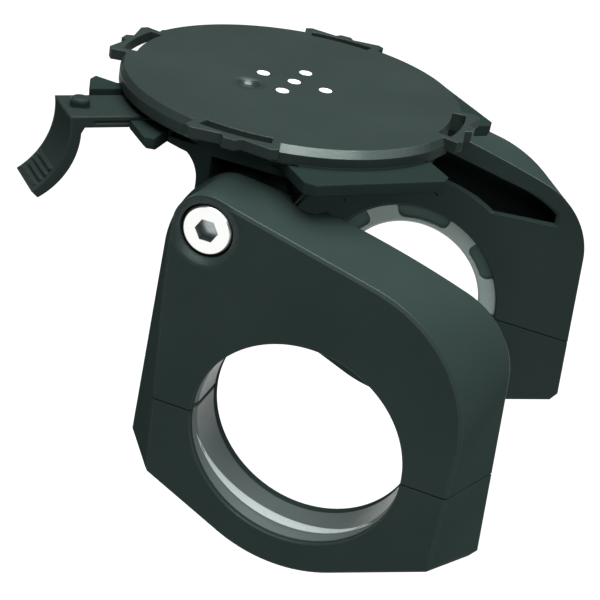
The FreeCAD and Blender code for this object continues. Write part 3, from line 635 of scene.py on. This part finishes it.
@dataclass
class Studio:
    """A pale floor in a dim room with a white backdrop, a lit ceiling and a soft box."""

    floor_height: float = -0.6
    floor_size: float = 12.0
    floor_colour: str = "#B4B4B4"
    floor_roughness: float = 0.9
    floor_sheen: float = 0.1
    fibre_mm: float = 1.5
    fibre_depth_mm: float = 0.02
    fibre_strength: float = 0.05
    room_light: float = 0.08
    backdrop_light: float = 1.05
    light_colour: str = "#FFFFFF"
    ceiling: CeilingLight = field(default_factory=CeilingLight)
    boxes: list[SoftBox] = field(default_factory=lambda: [
        SoftBox("front_right_box", place=(0.55, -0.62, 0.6), width=0.9, height=0.1, power=2.3),
    ])

    def build_floor(self) -> bpy.types.Object:
        """Makes the floor.

        Returns:
            The floor's object.
        """
        half = self.floor_size / 2
        corners = [(-half, -half, 0), (half, -half, 0), (half, half, 0), (-half, half, 0)]
        mesh = bpy.data.meshes.new("studio_floor")
        mesh.from_pydata(corners, [], [(0, 1, 2, 3)])
        floor = bpy.data.objects.new("studio_floor", mesh)
        floor.location.z = self.floor_height
        bpy.context.scene.collection.objects.link(floor)
        material, tree = empty_tree("matt_pale_paper")
        place = add(tree, "ShaderNodeTexCoord")
        fibre = add(tree, "ShaderNodeTexNoise", {"Scale": per_metre(self.fibre_mm)},
                    {"Vector": place.outputs["Object"]})
        bump = add(tree, "ShaderNodeBump",
                   {"Strength": self.fibre_strength, "Distance": self.fibre_depth_mm * MM},
                   {"Height": fibre.outputs["Fac"]})
        shader = add(tree, "ShaderNodeBsdfPrincipled",
                     {"Base Color": linear(self.floor_colour), "Roughness": self.floor_roughness,
                      "Specular IOR Level": self.floor_sheen},
                     {"Normal": bump.outputs["Normal"]})
        add(tree, "ShaderNodeOutputMaterial", None, {"Surface": shader.outputs["BSDF"]})
        mesh.materials.append(material)
        return floor

    def build_room(self) -> None:
        """Makes the room: dim to the object, white where the camera looks past the floor."""
        world = bpy.data.worlds.new("pale_room")
        world.use_nodes = True
        tree = world.node_tree
        tree.nodes.clear()
        path = add(tree, "ShaderNodeLightPath")
        light = add(tree, "ShaderNodeMapRange", {"To Min": self.room_light, "To Max": self.backdrop_light},
                    {"Value": path.outputs["Is Camera Ray"]})
        glow = add(tree, "ShaderNodeBackground", {"Color": linear(self.light_colour)},
                   {"Strength": light.outputs["Result"]})
        add(tree, "ShaderNodeOutputWorld", None, {"Surface": glow.outputs["Background"]})
        bpy.context.scene.world = world

    def build(self) -> None:
        """Makes the room, the floor and the lights."""
        bpy.context.scene.view_settings.view_transform = "Standard"
        self.build_room()
        self.build_floor()
        self.ceiling.build()
        for box in self.boxes:
            box.build()


@dataclass
class PhoneMount:
    """The whole mount, with the finish of each of its pieces."""

    far_face_mm: float = 51.9        # the far clamp's face towards the stem
    mark_distance_mm: float = 19.4   # from the bar's axis
    mark_angles: tuple[float, float] = (85.2, 136.4)
    dimple: Hollow = Hollow(centre_mm=(-24.5, 22.5, 40.2), radius_mm=3.0, floor_mm=0.5, depth_mm=1.1)
    screw_dish: Hollow = Hollow(centre_mm=(-17.8, -5.1, 28.4), radius_mm=5.6, floor_mm=3.9, depth_mm=1.0)
    # A paler band on the near liner's cone: a painted highlight.
    painted_highlight_crescent: BoreBand = BoreBand("painted_highlight_crescent", near_mm=-3.0, far_mm=-3.0, near_bulge_mm=1.1,
                                         far_bulge_mm=3.0, start_angle=-163.0, end_angle=-35.0)
    bore_lip: BoreBand = BoreBand("near_bore_lip", near_mm=3.5, far_mm=4.75)

    def build_marks(self, finish: bpy.types.Material) -> None:
        """Makes the ejector pin marks on the far clamp's inner face.

        Args:
            finish: The material of the marks.
        """
        for angle in self.mark_angles:
            turn = math.radians(angle)
            x = self.mark_distance_mm * math.cos(turn)
            z = self.mark_distance_mm * math.sin(turn)
            PinMark(f"pin_mark_{angle:.0f}", (x, self.far_face_mm, z)).build(finish)

    def build(self) -> None:
        """Makes the finishes, dresses every solid and adds the thin pieces."""
        # Glass-filled nylon with a faint sheen; the rim's chamfer that looks towards the lamps gets a painted
        # highlight, paler and shinier.
        plate = MouldedPlastic("plate_nylon", colour="#262F2D", cloud_colour="#293230", roughness=0.34,
                               sheen_light=0.005, edge_mm=0.3, edge_sheen=0.4, highlight_way=(0.38, -0.70, 0.6),
                               hollow=self.dimple).build()
        # The same nylon painted a shade darker for the shade under the plate: painted shade; dry, with soft
        # corners.
        body = MouldedPlastic("shaded_body_nylon", colour="#1D2826", cloud_colour="#202B29", edge_mm=0.4,
                              edge_sheen=0.06, edge_roughness=0.4).build()
        # The same nylon under a thumb: round corners that catch a little light all round.
        lever = MouldedPlastic("lever_nylon", colour="#212A28", cloud_colour="#242D2B", edge_mm=0.55,
                               edge_sheen=0.2, edge_roughness=0.35, side_wear=0.8).build()
        # The same nylon in the big mouldings: even and dry, with top edges that catch the light.
        clamp = MouldedPlastic("clamp_nylon", seam_mm=0.5, hollow=self.screw_dish, hollow_sheen=0.28).build()
        # Grey acetal, moulded against polished steel: smooth, with a waxy sheen.
        insert = MouldedPlastic("grey_acetal", colour="#525C5A", cloud_colour="#56605E",
                                grain=Grain.POLISHED, roughness=0.35, sheen_light=0.16).build()
        # Pale acetal, as smooth, for the far reducer.
        reducer = MouldedPlastic("pale_acetal", colour="#828F8C", cloud_colour="#87938F",
                                 grain=Grain.POLISHED, roughness=0.35, sheen_light=0.2).build()
        # Acetal painted paler and brighter for the light on the liner's mouth: a painted highlight.
        painted_highlight_finish = MouldedPlastic("painted_highlight_acetal", colour="#B0B9BA", cloud_colour="#B5BEBE",
                              grain=Grain.POLISHED, roughness=0.3, sheen_light=0.4).build()
        # Acetal down in the pockets, darkened with dust.
        # The reducer's acetal painted darker for the shade down in its pockets: painted shade.
        pocket_shade = MouldedPlastic("pocket_shade_acetal", colour="#435450", cloud_colour="#465753",
                              grain=Grain.POLISHED).build()
        # White acetal rivets, smooth and matt.
        rivet = MouldedPlastic("white_acetal", colour="#F0F8F2", cloud_colour="#F4FAF6",
                               grain=Grain.POLISHED).build()
        # Nylon made nearly black for the small ejector pin marks.
        pit = MouldedPlastic("pin_mark_nylon", colour="#0B1413", cloud_colour="#0D1615").build()
        # Stainless steel, turned and left bright, painted grey in its socket as painted shade.
        steel = TurnedMetal("stainless_steel", "#F2F2F0").build()
        # Brass, turned: warm and soft.
        brass = TurnedMetal("turned_brass", "#B8954C").build()
        finishes = {
            "phone_plate": plate, "plate_rivets": rivet, "carrier": body, "release_lever": lever,
            "lever_pin": steel, "lever_spring": steel,
        }
        for side in Side:
            for half in ("upper", "lower"):
                finishes[f"{side.value}_clamp_{half}"] = clamp
            finishes[f"{side.value}_clamp_screws"] = steel
            finishes[f"{side.value}_pivot_screw"] = steel
            finishes[f"{side.value}_pivot_insert"] = brass
            finishes[f"{side.value}_tilt_washer"] = steel
        for half in ("upper", "lower"):
            finishes[f"near_liner_{half}"] = insert
            finishes[f"far_reducer_{half}"] = reducer
        for node, finish in finishes.items():
            dress(node, finish)
        self.build_marks(pit)
        self.painted_highlight_crescent.build(painted_highlight_finish, "insert_plastic")
        self.bore_lip.build(clamp, "clamp_plastic")
        # The web that closes the pockets wears the darker acetal: painted shade.
        PocketFloor().build(pocket_shade)


def main() -> None:
    """Builds the scene."""
    logging.basicConfig(level=logging.INFO, format="%(name)s: %(message)s")
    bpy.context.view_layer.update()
    PhotoCamera().build()
    Studio().build()
    PhoneMount().build()


if __name__ == "__main__":
    main()
